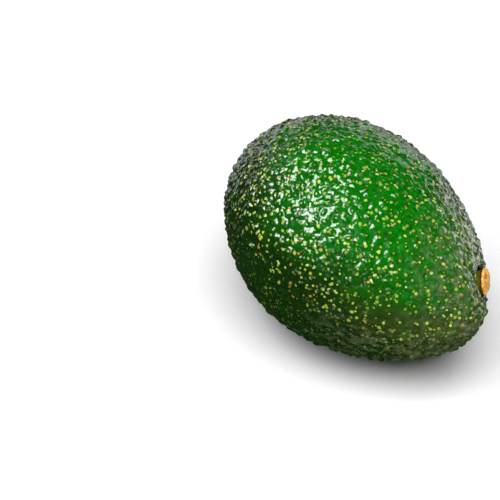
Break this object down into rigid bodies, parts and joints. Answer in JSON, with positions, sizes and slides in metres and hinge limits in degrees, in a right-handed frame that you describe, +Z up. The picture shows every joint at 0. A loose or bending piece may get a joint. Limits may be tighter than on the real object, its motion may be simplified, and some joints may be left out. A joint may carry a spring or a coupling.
{
  "type": "avocado",
  "caption": "Whole ripe-green avocado with pebbled skin, lying on its side on a small flat spot, with its dry corky stem button seated in the stem hollow.",
  "frame": {"origin": "on the surface that the fruit rests on, under the middle of its bounding box; the flat spot of the skin is at z = 0", "axes": "+X along the fruit from its blossom end to its narrow stem end, +Z up from the resting surface, +Y across the fruit to the side that the stem button faces"},
  "size_m": [0.1024, 0.0702, 0.0704],
  "materials": {
    "avocado_skin": "pebbled leathery skin, waxy gloss, deep green with yellow-green specks",
    "stem_cork": "dry, cracked, matte cork, orange-tan with a brown rim"
  },
  "bodies": {
    "root": {"fruit": "avocado_skin", "stem_button": "stem_cork"}
  },
  "joints": []
}
